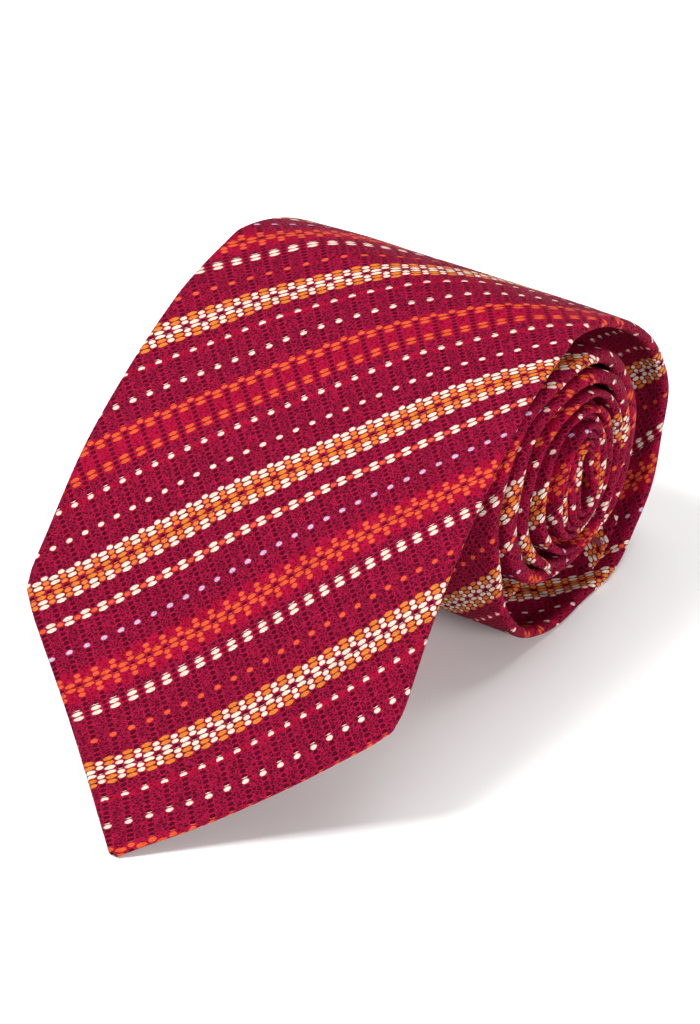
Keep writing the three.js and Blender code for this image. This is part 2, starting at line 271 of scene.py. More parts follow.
def normals(line):
    """Outward normals of a line that runs from the core out to the point."""
    along = np.gradient(line, axis=0)
    along /= np.linalg.norm(along, axis=1)[:, None]
    return np.stack([along[:, 1], -along[:, 0]], 1)


class ClothLine:
    """The line of the tie's middle layer. A place on it is known by its distance from a point of the tie."""

    def __init__(self, sizes):
        self.sizes = sizes
        rolled = roll_line(sizes.layer / 2)
        hanging = catmull([tuple(rolled[-1])] + HANGING_LINE, 24)[1:]
        line, at = even(np.vstack([rolled, hanging]), LINE_STEP)
        line = soften(line, LINE_PASSES)
        line[:, 0] += CREST.y - CREST_Y
        self.blade = line
        self.blade_normal = normals(line)
        self.blade_at = at[-1] - at
        self.blade_length = at[-1]
        self.crest_at = self.blade_at[np.argmax(line[:, 1])]
        self.shift_x = BLADE_BOX[1][0] / MM - sizes.blade_width / 2
        self.seam_at = self.find_seam()
        self.make_tail()

    def find_seam(self):
        """Distance from the wide point to the place under the roll where the two silk pieces join."""
        under = (self.blade[:, 1] < SEAM_BELOW) & (self.blade[:, 0] > SEAM_BEHIND)
        return self.blade_at[under & (self.blade_at > self.crest_at)].max()

    def make_tail(self):
        """The tail's line, inside the wide end's from the fold to its point, which wants its own length."""
        length = self.sizes.tie_length - self.blade_length - math.pi * LAYER_PITCH / 2
        from_core = self.blade_length - self.blade_at
        to_point = length - from_core * TAIL_SHARE
        wide = smooth(to_point, TAIL_ROOM.length, TAIL_ROOM.length + TAIL_ROOM.fade)
        offset = LAYER_PITCH + TAIL_ROOM.extra * (1 - wide)
        line = self.blade - self.blade_normal * offset[:, None]
        run = run_along(line)
        keep = run <= length
        self.tail = line[keep]
        self.tail_normal = -self.blade_normal[keep]
        self.tail_at = length - run[keep]
        self.tail_partner = self.blade_at[keep]

    def half_width(self, at, full, taper):
        """Half the tie's width at a distance from a point, where it is full wide past the point."""
        half = full / 2
        wide = mix(half, self.sizes.neck_width / 2, np.clip((at - half) / taper, 0, 1))
        return np.where(at < half, at, wide) - CORNER_SOFT * np.exp(-(((at - half) / CORNER_REACH) ** 2))

    def blade_half(self, at):
        return self.half_width(at, self.sizes.blade_width, BLADE_TAPER)

    def tail_half(self, at):
        return self.half_width(at, self.sizes.tail_width, TAIL_TAPER)

    def middle(self, at):
        """Where the middle of the wide end lies along X."""
        corner = self.sizes.blade_width / 2
        rise = np.clip((at - corner) / (self.crest_at - corner), 0, 1)
        wound = np.clip((at - self.crest_at) / (self.blade_length - self.crest_at), 0, 1)
        edge = mix(mix(EDGE_AT_CORNER, EDGE_AT_CREST, rise), EDGE_AT_CORE, wound)
        lean = mix(POINT_ASIDE, EDGE_AT_CORNER - corner, np.clip(at / corner, 0, 1))
        wide = mix(corner, self.sizes.neck_width / 2, np.clip((at - corner) / BLADE_TAPER, 0, 1))
        return np.where(at < corner, lean, edge - wide) + self.shift_x

    def gap(self, at, full):
        """Half the gap between the two backs."""
        half = full / 2
        hem = self.sizes.hem * math.sqrt(2)
        low = np.maximum(SLIT, at - hem)
        high = mix(half - hem, SLIT, np.clip((at - half) / BACK_OPENING, 0, 1))
        return np.minimum(np.where(at < half, low, high), np.maximum(at * POINT_OPENING, LEAST_GAP))

    def room(self, at, full):
        """Room for the tipping, behind the interlining."""
        end = full / 2 + BACK_OPENING + self.sizes.hem
        return TIPPING_ROOM * (1 - smooth(at, end, end + TIPPING_FADE))

    def tail_seen(self):
        """1 where the tail's edge shows beside the wide end's in the roll's end, 0 where it lies inside."""
        from_fold = self.blade_length - self.blade_at
        tail_at = np.maximum(self.sizes.tie_length - self.blade_length - from_fold, 1)
        return 1 - smooth(self.blade_half(self.blade_at) - self.tail_half(tail_at), *TAIL_SEEN_WITHIN)

    def local_pitch(self):
        """How far apart the turns lie, at each place of the wide end's line."""
        across = np.abs(self.blade_normal[:, 0])
        return mix(PITCH[1], PITCH[0], across**2)

    def blade_rows(self, near, far=math.inf):
        """Places on the wide end between two distances from its point, with what a section needs there."""
        pick = (self.blade_at >= near) & (self.blade_at <= far)
        at = self.blade_at[pick]
        pitch = self.local_pitch()[pick]
        past_crest = at - self.crest_at
        seen = self.tail_seen()[pick]
        rim = mix(pitch - TURN_AIR, (pitch - PAIR_AIR) / 2, seen)
        rim = mix(self.sizes.rim, rim, smooth(past_crest, *OUTER_FADE))
        rim = mix(CREST_RIM, rim, smooth(past_crest, *CREST_FADE))
        rim = mix(self.sizes.layer, rim, smooth(self.blade_length - at, *FOLD_FADE))
        wander = waves(EDGE_WANDER, at) * smooth(past_crest, 0, 60)
        return Rows(
            point=self.blade[pick],
            normal=self.blade_normal[pick],
            flat=at,
            half=self.blade_half(at),
            middle=self.middle(at) + wander,
            gap=self.gap(at, self.sizes.blade_width),
            room=self.room(at, self.sizes.blade_width),
            back_puff=rim - self.sizes.layer,
            front_puff=0 * rim,
        )

    def tail_rows(self, near=-math.inf, far=math.inf):
        """Places on the narrow end between two distances from its point."""
        at = self.tail_at
        count = len(at)
        layer = self.sizes.layer
        seen = self.tail_seen()[:count] * smooth(self.blade_length - self.tail_partner, *FOLD_FADE)
        pitch = self.local_pitch()[:count]
        lift = np.maximum((pitch - BACK_AIR) / 2 - layer - BACK_AIR / 2, 0) * seen
        rows = Rows(
            point=self.tail,
            normal=self.tail_normal,
            flat=self.sizes.tie_length - at,
            half=self.tail_half(at),
            middle=self.middle(self.tail_partner),
            gap=self.gap(at, self.sizes.tail_width),
            room=self.room(at, self.sizes.tail_width),
            back_puff=-lift,
            front_puff=np.maximum((pitch - PAIR_AIR) / 2 - layer, 0) * seen + lift,
        ).reversed()
        from_point = self.sizes.tie_length - rows.flat
        return rows.picked((from_point > near) & (from_point < far))

    def fold_rows(self, steps=8):
        """The bend in the core, where the wide end's layer turns back into the tail's."""
        first, normal = self.blade[0], self.blade_normal[0]
        radius = LAYER_PITCH / 2
        angle = np.linspace(0, math.pi, steps + 2)[1:-1]
        inward = np.array([normal[1], -normal[0]])
        turned = -normal[None] * np.cos(angle)[:, None] + inward[None] * np.sin(angle)[:, None]
        point = first - normal * radius + turned * radius
        ones = np.ones(steps)
        half = self.sizes.neck_width / 2
        return Rows(
            point=point,
            normal=turned,
            flat=self.blade_length + (math.pi - angle) * radius,
            half=ones * half,
            middle=ones * self.middle(self.blade_length),
            gap=ones * SLIT,
            room=ones * 0,
            back_puff=ones * 0,
            front_puff=ones * 0,
        ).reversed()


class Rows:
    """A run of places along the cloth, with a column for each thing that a section needs there."""

    def __init__(self, **columns):
        self.columns = columns
        self.__dict__.update(columns)

    def __len__(self):
        return len(self.flat)

    def picked(self, keep):
        return Rows(**{name: value[keep] for name, value in self.columns.items()})

    def reversed(self):
        return self.picked(slice(None, None, -1))

    def every(self, step):
        """Every so many places, and always the last."""
        return self.picked(np.unique(np.concatenate([np.arange(0, len(self), step), [len(self) - 1]])))

    @staticmethod
    def joined(*runs):
        names = runs[0].columns
        return Rows(**{name: np.concatenate([run.columns[name] for run in runs]) for name in names})


# ---------------------------------------------------------------- meshes


def grid_faces(rows, columns):
    """Faces between the points of a grid."""
    r, c = np.meshgrid(np.arange(rows - 1), np.arange(columns - 1), indexing="ij")
    a = (r * columns + c).ravel()
    return np.stack([a, a + 1, a + columns + 1, a + columns], 1).tolist()


def make_piece(name, points, faces):
    """A mesh piece in metres from points in millimetres."""
    mesh = bpy.data.meshes.new(name)
    mesh.from_pydata((points * MM).tolist(), [], faces)
    mesh.shade_smooth()
    piece = bpy.data.objects.new(name, mesh)
    bpy.context.scene.collection.objects.link(piece)
    return piece


def make_cloth(name, points, across, rows, thickness):
    """A grid of cloth through the points, which keeps its place on the flat cloth as a UV map."""
    piece = make_piece(name, points.reshape(-1, 3), grid_faces(*points.shape[:2]))
    flat = np.stack(np.broadcast_arrays(across, rows.flat[:, None]), 2).reshape(-1, 2)
    layer = piece.data.uv_layers.new(name="cloth")
    corner = np.empty(len(piece.data.loops), int)
    piece.data.loops.foreach_get("vertex_index", corner)
    layer.data.foreach_set("uv", (flat[corner] * UV_SCALE).astype(np.float32).ravel())
    thicken(piece, thickness)
    return piece


def thicken(piece, thickness):
    """Gives a sheet its thickness, on the side away from its face."""
    modifier = piece.modifiers.new("thickness", "SOLIDIFY")
    modifier.thickness = thickness * MM
    modifier.offset = -1
    modifier.use_even_offset = False
    bpy.context.view_layer.update()
    graph = bpy.context.evaluated_depsgraph_get()
    mesh = bpy.data.meshes.new_from_object(piece.evaluated_get(graph))
    old = piece.data
    piece.modifiers.clear()
    piece.data = mesh
    bpy.data.meshes.remove(old)
    mesh.name = piece.name


def ripple(across, flat):
    """A slight waviness of the hand-folded cloth in height, calmer at the point and in the roll."""
    calm = smooth(flat, 12, 40) * mix(1, RIPPLE_IN_ROLL, smooth(flat, 195, 240))
    return waves(RIPPLE, flat, across) * calm


def droop(across, flat):
    """How far the left edge sinks where the wide end goes over the crest."""
    return -DROOP * smooth(-across, 18, 44) * np.exp(-(((flat - DROOP_AT) / DROOP_REACH) ** 2))


def place(rows, across, height):
    """Points across the cloth from its middle and above its line, one row of them for each place on it."""
    flat = rows.flat[:, None]
    x = across + rows.middle[:, None]
    height = height + ripple(across, flat) + droop(across, flat)
    y = rows.point[:, 0, None] + rows.normal[:, 0, None] * height
    z = rows.point[:, 1, None] + rows.normal[:, 1, None] * height
    return np.stack([np.broadcast_to(x, y.shape), y, z], 2)


EDGE_STEPS = 11
FRONT_STEPS = 26
BACK_STEPS = 14
BACK_CROWDING = 0.7  # the back's steps crowd towards the edge, where the rim swells
WIDEST_GAP = 0.8  # as a share of the half-width
EDGE_ROUNDING = SimpleNamespace(extra=0.15, most=1.5, share=0.45)
RIM_REACH = (0.8, 6.5)
LEAST_HEIGHT = 0.03
STRIP_STEPS = 12


def shell_section(rows, sizes):
    """Place across, height and flat width of the folded shell: back, edge, front, edge and back again."""
    layer = sizes.layer
    half = rows.half[:, None]
    gap = np.minimum(rows.gap[:, None], half * WIDEST_GAP)
    thick = layer + (rows.back_puff + rows.front_puff)[:, None]
    edge = np.minimum(0.5 * thick + EDGE_ROUNDING.extra, EDGE_ROUNDING.most)
    edge = np.minimum(edge, half * EDGE_ROUNDING.share)

    def near_edge(x):
        return (1 - smooth(half - np.abs(x), *RIM_REACH)) * smooth(half, 4, 12)

    t_back = np.linspace(0, 1, BACK_STEPS)[None]
    back_x = mix(gap, half - edge, t_back**BACK_CROWDING)
    back_h = -layer / 2 - rows.room[:, None] - rows.back_puff[:, None] * near_edge(back_x)
    front_x = mix(half - edge, -(half - edge), np.linspace(0, 1, FRONT_STEPS)[None])
    front_h = layer / 2 + rows.front_puff[:, None] * near_edge(front_x)
    angle = np.linspace(-math.pi / 2, math.pi / 2, EDGE_STEPS + 2)[None, 1:-1]
    low, high = back_h[:, -1:], front_h[:, :1]
    edge_x = half - edge + edge * np.cos(angle)
    edge_h = (low + high) / 2 + (high - low) / 2 * np.sin(angle)
    x = np.hstack([back_x, edge_x, front_x, -edge_x[:, ::-1], -back_x[:, ::-1]])
    height = np.hstack([back_h, edge_h, front_h, edge_h[:, ::-1], back_h[:, ::-1]])
    run = np.cumsum(np.hypot(np.diff(x, axis=1), np.diff(height, axis=1)), axis=1)
    run = np.hstack([0 * half, run])
    return x, height, run[:, -1:] / 2 - run


def shell_piece(name, rows, sizes):
    """The folded silk shell along the rows."""
    across, height, width = shell_section(rows, sizes)
    points = place(rows, across, height)
    points[..., 2] = np.maximum(points[..., 2], LEAST_HEIGHT)
    return make_cloth(name, points, width, rows, sizes.shell)


def strip_piece(name, rows, right, left, height, thickness):
    """A flat strip inside or on the tie, from right to left of the middle, with its face at a height."""
    ends = [np.reshape(end, (-1, 1)) * np.ones((len(rows), 1)) for end in (right, left)]
    across = mix(*ends, np.linspace(0, 1, STRIP_STEPS + 1)[None])
    points = place(rows, across, np.reshape(height, (-1, 1)) + 0 * across)
    return make_cloth(name, points, across, rows, thickness)


THREAD_END = 0.35


def thread_tube(path, radius, sides=8):
    """Points and faces of a closed thread along a path."""
    along = np.gradient(path, axis=0)
    along /= np.linalg.norm(along, axis=1)[:, None]
    side = np.cross(along, [1.0, 0.0, 0.0])
    weak = np.linalg.norm(side, axis=1) < 0.3
    side[weak] = np.cross(along[weak], [0.0, 0.3, 1.0])
    side /= np.linalg.norm(side, axis=1)[:, None]
    other = np.cross(along, side)
    angle = np.arange(sides) * 2 * math.pi / sides
    ring = np.cos(angle)[None, :, None] * side[:, None] + np.sin(angle)[None, :, None] * other[:, None]
    swell = np.full(len(path), radius)
    swell[[0, -1]] = radius * THREAD_END
    points = (path[:, None] + ring * swell[:, None, None]).reshape(-1, 3)
    faces = []
    for i in range(len(path) - 1):
        for k in range(sides):
            a, b = i * sides + k, i * sides + (k + 1) % sides
            faces.append([a, b, b + sides, a + sides])
    faces.append(list(range(sides))[::-1])
    faces.append([(len(path) - 1) * sides + k for k in range(sides)])
    return points, faces


def joined_piece(name, parts):
    """One piece from several sets of points and faces."""
    faces, start = [], 0
    for part_points, part_faces in parts:
        faces += [[i + start for i in face] for face in part_faces]
        start += len(part_points)
    return make_piece(name, np.vstack([part_points for part_points, _ in parts]), faces)


# ---------------------------------------------------------------- shader maths


class Value:
    """A socket that holds a number, with Python's operators for its maths."""

    def __init__(self, graph, socket):
        self.graph, self.socket = graph, socket

    def math(self, operation, *others):
        inputs = dict(enumerate((self, *others)))
        return self.graph.add("ShaderNodeMath", {"operation": operation}, inputs)

    def __add__(self, other):
        return self.math("ADD", other)

    def __sub__(self, other):
        return self.math("SUBTRACT", other)

    def __mul__(self, other):
        return self.math("MULTIPLY", other)

    def __rsub__(self, other):
        return self.graph.add("ShaderNodeMath", {"operation": "SUBTRACT"}, {0: other, 1: self})

    __radd__ = __add__
    __rmul__ = __mul__

    def fract(self):
        return self.math("FRACT")

    def abs(self):
        return self.math("ABSOLUTE")

    def hypot(self, other):
        return (self * self + other * other).math("SQRT")

    def ramp_to(self, low, high, start=0.0, end=1.0):
        """Smoothly from start to end as this goes from low to high."""
        settings = {"interpolation_type": "SMOOTHSTEP"}
        return self.graph.add("ShaderNodeMapRange", settings, {0: self, 1: low, 2: high, 3: start, 4: end})


class Graph:
    """A material's nodes."""

    def __init__(self, name):
        self.material = bpy.data.materials.new(name)
        self.material.use_nodes = True
        self.tree = self.material.node_tree
        self.shader = self.tree.nodes["Principled BSDF"]

    def node(self, kind, settings=None, inputs=None):
        node = self.tree.nodes.new(kind)
        for key, value in (settings or {}).items():
            if key == "stops":
                self.set_stops(node, value)
            else:
                setattr(node, key, value)
        for key, value in (inputs or {}).items():
            self.feed(node.inputs[key], value)
        return node

    def add(self, kind, settings=None, inputs=None, output=0):
        return Value(self, self.node(kind, settings, inputs).outputs[output])

    def feed(self, socket, value):
        if isinstance(value, Value):
            self.tree.links.new(value.socket, socket)
        elif isinstance(value, (tuple, list)) and len(value) == 3 and len(socket.default_value) == 4:
            socket.default_value = (*value, 1.0)
        else:
            socket.default_value = value

    def set_stops(self, node, stops):
        ramp = node.color_ramp
        ramp.interpolation, points = stops
        while len(ramp.elements) > 1:
            ramp.elements.remove(ramp.elements[-1])
        ramp.elements[0].position = points[0][0]
        ramp.elements[0].color = points[0][1]
        for position, colour in points[1:]:
            ramp.elements.new(position).color = colour

    def blend(self, factor, a, b, kind="MIX"):
        """Colour a where factor is 0 and b where it is 1."""
        settings = {"data_type": "RGBA", "blend_type": kind}
        return self.add("ShaderNodeMix", settings, {0: factor, 6: a, 7: b}, 2)

    def noise(self, vector, scale, detail=2.0):
        inputs = {"Vector": vector, "Scale": scale, "Detail": detail}
        return self.add("ShaderNodeTexNoise", {}, inputs)

    def threads(self, vector, scale, direction, distortion=0.0):
        """Bands like threads side by side."""
        inputs = {"Vector": vector, "Scale": scale, "Distortion": distortion}
        return self.add("ShaderNodeTexWave", {"bands_direction": direction}, inputs, 1)

    def object_place(self):
        return self.add("ShaderNodeTexCoord", {}, {}, "Object")

    def cloth_place(self):
        """Millimetres across and along the flat cloth."""
        uv = self.add("ShaderNodeUVMap", {"uv_map": "cloth"})
        parts = self.node("ShaderNodeSeparateXYZ", {}, {0: uv})
        across, along = (Value(self, parts.outputs[i]) * (1 / UV_SCALE) for i in (0, 1))
        return across, along, uv

    def finish(self, roughness, height=None, depth=0.1, colour=None, sheen=0.0, specular=0.5):
        self.shader.inputs["Sheen Weight"].default_value = sheen
        self.shader.inputs["Specular IOR Level"].default_value = specular
        self.feed(self.shader.inputs["Roughness"], roughness)
        if colour is not None:
            self.feed(self.shader.inputs["Base Color"], colour)
        if height is not None:
            inputs = {"Strength": 1.0, "Distance": depth * MM, "Height": height}
            bump = self.add("ShaderNodeBump", {}, inputs)
            self.feed(self.shader.inputs["Normal"], bump)
        return self.material


# The stripes repeat after so many rows of floats. Dashes stand between rows, and dots on them.
ROW = 1.025  # height of a row in millimetres
ROWS = 80
COLUMN = 3.645
COLUMNS_PER_MM = 0.194
COLUMN_START = 138.2
# The cloth is cut a little off the bias, and its stripes swing where it is pulled over the crest.
ROWS_ALONG = 0.661
ROWS_ACROSS = 0.718
PULL_MIDDLE = (70.0, 42.9)  # distance from the point, and the row there
PULL_REACH = (50.0, 70.0)
# Half the width and height of a float and of a hollow in the net, and where their edges fade.
DASH_HALF, DASH_EDGE = (1.05, 0.46), (0.80, 1.08)
DOT_HALF, DOT_EDGE = (0.72, 0.46), (0.78, 1.08)
HOLLOW_HALF, HOLLOW_EDGE = (0.72, 0.45), (0.55, 0.95)
RING_AT, RING_EDGE = 1.08, (0.06, 0.30)
FUZZ_SCALE = 420.0
BAND_EDGE = 0.35
DASHES = [
    (9, 11, "ochre"), (11, 13, "cream"), (13, 15, "ochre"), (24, 26, "cream"), (30, 32, "orange"),
    (43, 45, "cream"), (48, 50, "cream"), (50, 52, "ochre"), (52, 54, "cream"), (68, 70, "orange"), (73, 75, "orange"),
]
DOTS = [
    (0, 1, "cream"), (6, 7, "cream"), (10, 12, "cream"), (13, 15, "cream"), (19, 20, "orange"),
    (29, 31, "orange"), (32, 34, "orange"), (38, 39, "lavender"), (44, 45, "orange"), (49, 51, "ochre"),
    (52, 54, "ochre"), (54, 55, "cream"), (59, 60, "cream"), (65, 66, "cream"), (75, 76, "orange"),
]
RED_BANDS = [(5.4, 6.6), (24.3, 25.7), (27.6, 34.4), (43.6, 44.4), (64.4, 65.6), (67.6, 75.4)]


def yarn_stops(floats, colours):
    """Stops of a stepped ramp over the rows, clear where the ground shows."""
    clear = (0.0, 0.0, 0.0, 0.0)
    stops = [(0.0, clear)]
    for start, end, yarn in floats:
        shade = (*getattr(colours, yarn), 1.0)
        stops = [stop for stop in stops if abs(stop[0] - start / ROWS) > 1e-4]
        stops += [(start / ROWS, shade), (end / ROWS, clear)]
    return ("CONSTANT", stops)


def ground_stops(colours):
    """Stops of a ramp over the rows, burgundy with red bands."""
    ground, red = (*colours.ground, 1.0), (*colours.red, 1.0)
    stops = [(0.0, ground)]
    for start, end in RED_BANDS:
        stops += [((start - BAND_EDGE) / ROWS, ground), ((start + BAND_EDGE) / ROWS, red)]
        stops += [((end - BAND_EDGE) / ROWS, red), ((end + BAND_EDGE) / ROWS, ground)]
    return ("LINEAR", stops)


def silk_material(colours):
    """Jacquard silk: a burgundy net of small hollows darkened with painted shade, with rows of coloured floats on the
    bias.
    """
    g = Graph("striped_silk")
    across, along, uv = g.cloth_place()
    wobble = g.noise(uv, 120.0, 1.0) - 0.5
    waver = g.noise(uv, 95.0, 1.0) - 0.5
    from_middle = along - PULL_MIDDLE[0]

    # How far the stripes and the columns of floats swing where the cloth is pulled.
    u = across * (1 / PULL_REACH[0])
    v = (from_middle * (1 / PULL_REACH[1])).math("MINIMUM", 1.0).math("MAXIMUM", -1.0)
    swing = v * v * (v * 3.0 + u * 4.1) - u * (u * 1.4 + v * 2.4 + u * v) + u * u * u * 0.8
    column_swing = (v * v + u * u + u * v) * 0.4 - v * v * v * 1.47
    row_at = from_middle * ROWS_ALONG - across * ROWS_ACROSS + swing + (ROWS + PULL_MIDDLE[1])
    row_at = row_at + wobble * 0.16
    column_at = (from_middle + across) * COLUMNS_PER_MM + column_swing + waver * 0.1 + COLUMN_START
    p, q = row_at * ROW, column_at * COLUMN
    dash_period = (row_at * (1 / ROWS)).fract()
    dot_period = ((row_at + 0.5) * (1 / ROWS)).fract()
    late = dot_period.math("GREATER_THAN", 0.5)

    # Millimetres from the middle of the nearest dot and dash, along the row and across it.
    on_dot = (column_at.fract() - 0.5).abs() * COLUMN
    on_dash = COLUMN / 2 - on_dot
    dot_row = ((row_at + 0.5).fract() - 0.5).abs() * ROW
    dash_row = (row_at.fract() - 0.5).abs() * ROW

    def oval(along_row, across_row, half):
        return (along_row * (1 / half[0])).hypot(across_row * (1 / half[1]))

    dash = oval(on_dash, dash_row, DASH_HALF).ramp_to(*DASH_EDGE, 1.0, 0.0)
    dot = oval(on_dot, dot_row, DOT_HALF).ramp_to(*DOT_EDGE, 1.0, 0.0)
    cell = oval(on_dot, dot_row, HOLLOW_HALF)
    shaded_hollow = cell.ramp_to(*HOLLOW_EDGE, 1.0, 0.0)
    ring = (cell - RING_AT).abs().ramp_to(*RING_EDGE, 1.0, 0.0)

    def ramp(period, stops):
        node = g.node("ShaderNodeValToRGB", {"stops": stops}, {0: period})
        return Value(g, node.outputs["Color"]), Value(g, node.outputs["Alpha"])

    # The dots need two ramps, one for each half of the rows, because a ramp holds only so many stops.
    early_dots = [dots for dots in DOTS if dots[0] < ROWS / 2]
    late_dots = [dots for dots in DOTS if dots[0] >= ROWS / 2]
    dash_colour, dash_here = ramp(dash_period, yarn_stops(DASHES, colours))
    early_colour, early_here = ramp(dot_period, yarn_stops(early_dots, colours))
    late_colour, late_here = ramp(dot_period, yarn_stops(late_dots, colours))
    dot_colour = g.blend(late, early_colour, late_colour)
    dot_here = early_here + (late_here - early_here) * late
    ground, _ = ramp(dash_period, ground_stops(colours))

    # The burgundy ground: loops of crimson yarn round small pits, open beside the hollows; the pits and the hollows
    # get painted shade.
    plane = g.add("ShaderNodeCombineXYZ", {}, {0: q * 1.15, 1: p * 2.0})
    cells = g.add("ShaderNodeTexVoronoi", {"feature": "DISTANCE_TO_EDGE"}, {"Vector": plane, "Scale": 1.0})
    loops = cells.ramp_to(0.04, 0.22, 1.0, 0.0)
    shaded_pits = cells.ramp_to(0.16, 0.42) * (1 - cell.ramp_to(1.0, 1.5, 1.0, 0.0))
    fuzz = g.noise(uv, FUZZ_SCALE)
    patch = g.noise(uv, 9.0)
    open_side = on_dot.ramp_to(0.5, 1.1, 1.0, 0.75)
    broken = fuzz.ramp_to(0.38, 0.6)
    shown = loops * open_side * (0.2 + broken * 0.9) * (0.7 + patch * 0.6)
    colour = g.blend(shown, ground, tuple(colours.net))
    # Painted shade darkens the pits between the loops.
    colour = g.blend(shaded_pits * 0.75, colour, tuple(colours.shaded_hollow))
    colour = g.blend(ring * (0.2 + broken * 0.7), colour, tuple(colours.net))
    # Painted shade darkens the hollows.
    colour = g.blend(shaded_hollow * 0.85, colour, tuple(colours.shaded_hollow))
    dash = dash * dash_here
    dot = dot * dot_here
    colour = g.blend(dash, colour, dash_colour)
    colour = g.blend(dot, colour, dot_colour)
    # Each float is lighter or darker as a whole at random, and painted shade darkens the grooves between its twisted
    # strands.
    strand = ((p * 3.4 + q * 0.9).fract() - 0.5).abs() * 2
    floats = dash + dot
    which = g.add("ShaderNodeCombineXYZ", {}, {0: column_at.math("FLOOR"), 1: row_at.math("FLOOR")})
    lot = g.add("ShaderNodeTexWhiteNoise", {"noise_dimensions": "2D"}, {"Vector": which})
    # Painted shade in the grooves between the strands; the fuzz and the lot vary the tone at random.
    shade = 0.9 - floats * strand.ramp_to(0.35, 0.85, 0.0, 0.38)
    shade = shade + (fuzz - 0.5) * 0.6 + (lot - 0.5) * 0.14
    grey = g.add("ShaderNodeCombineXYZ", {}, {0: shade, 1: shade, 2: shade})
    colour = g.blend(1.0, colour, grey, "MULTIPLY")

    height = floats * (1.1 - strand * 0.3) + ring * 0.4 - shaded_hollow * (1 - dot) * 0.5
    height = height + loops * 0.35 - shaded_pits * 0.25 + fuzz * 0.25
    roughness = 0.62 - floats * 0.1 + (fuzz - 0.5) * 0.2
    return g.finish(roughness, height, 0.2, colour, sheen=0.0, specular=0.03)


def plain_cloth(name, colour, scale, depth, roughness, sheen):
    """A plain cloth: crossed threads and a little fuzz."""
    g = Graph(name)
    at = g.object_place()
    warp = g.threads(at, scale, "X", 1.5)
    weft = g.threads(at, scale, "Z", 1.5)
    fuzz = g.noise(at, scale * 2.2, 4.0)
    dark = tuple(c * 0.6 for c in colour)
    shade = g.blend((warp + weft) * 0.3 + fuzz * 0.5, dark, colour)
    height = warp * 0.4 + weft * 0.4 + fuzz * 0.5
    return g.finish(roughness + (fuzz - 0.5) * 0.15, height, depth, shade, sheen)


def thread_material(name, colour):
    """Twisted sewing thread."""
    g = Graph(name)
    at = g.object_place()
    twist = g.threads(at, 900.0, "DIAGONAL")
    fuzz = g.noise(at, 2500.0)
    shade = g.blend(twist * 0.6 + fuzz * 0.3, tuple(c * 0.55 for c in colour), colour)
    return g.finish(0.5 + (fuzz - 0.5) * 0.2, twist + fuzz * 0.3, 0.05, shade, 0.2)


def floor_material():
    """A matt pale floor, a little cloudy."""
    g = Graph("studio_floor")
    cloud = g.noise(g.object_place(), 2.0)
    return g.finish(0.9, None, 0.1, g.blend(cloud, (0.93, 0.93, 0.93), (0.95, 0.95, 0.95)), specular=0.1)


MATERIALS = {}


def material(name):
    """A material, made when it is first asked for."""
    makers = {
        "silk": (silk_material, bpy.context.scene.necktie.colours),
        "wool": (plain_cloth, "wool_interlining", (0.72, 0.64, 0.50), 260.0, 0.12, 0.95, 0.4),
        "tipping": (plain_cloth, "satin_tipping", (0.15, 0.010, 0.035), 700.0, 0.03, 0.38, 0.1),
        "thread": (thread_material, "silk_thread", (0.30, 0.014, 0.055)),
        "label": (plain_cloth, "woven_label_tape", (0.80, 0.73, 0.62), 520.0, 0.05, 0.7, 0.2),
        "floor": (floor_material,),
    }
    if name not in MATERIALS:
        make, *how = makers[name]
        MATERIALS[name] = make(*how)
    return MATERIALS[name]


# ---------------------------------------------------------------- pieces

# The two silk pieces join where the cloth touches the ground under the roll.
SEAM_BEHIND = 41.0
SEAM_BELOW = 3.0
# A little behind the crest: how far the start in bend_over_crest lies behind it.
BLEND_START = 1.2

WOOL = SimpleNamespace(thickness=0.35, from_blade=5, from_tail=5, inset=1.5, lifted_inset=5.5, fold_inset=4)
TIPPING = SimpleNamespace(thickness=0.15, from_point=7, inset=3.2, past_gap=5, height=-0.375)
STITCH = SimpleNamespace(from_blade=105, from_tail=70, radius=0.1, swing=0.28, wave=6.0, bob=0.08)
TACK = SimpleNamespace(turns=9, steps=12, radius=0.13, height=-0.8, arch=0.12)
TAPE_THICKNESS = 0.25
MAKER_LABEL = SimpleNamespace(places=(85, 98), half=18.0)
CARE_LABEL = SimpleNamespace(places=(50, 60), left=-13.0, width=14.0, height=-0.725)
KEEPER = SimpleNamespace(places=(224, 240), tacks=(230, 234), tack_in=2.75, clear=27.5, foot=6.0, thickness=0.5)


def settle(piece, body, finish, slot, *nodes):
    """Gives a piece its finish and what it moves with, and hides the plain solids that it stands for."""
    piece.data.materials.clear()
    piece.data.materials.append(material(finish))
    if body:
        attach(piece, body)
    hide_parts(*nodes)
    if not body:
        bend_over_crest(piece)


def bend_over_crest(piece):
    """Bakes a piece's transform into its mesh; it bends nothing over the crest."""
    start = CREST * MM
    start.y += BLEND_START * MM
    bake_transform(piece)


class NECKTIE_OT_hanging_silk(bpy.types.Operator):
    """Make the silk of the wide end, from its point over the crest and down behind the roll"""

    bl_idname = "necktie.hanging_silk"
    bl_label = "Hanging silk"

    def execute(self, context):
        sizes = sizes_in_mm()
        line = ClothLine(sizes)
        rows = line.blade_rows(0.6, line.seam_at).every(2)
        piece = shell_piece("silk_blade_front", rows, sizes)
        settle(piece, None, "silk", "silk_cloth", "front_blade")
        return {"FINISHED"}


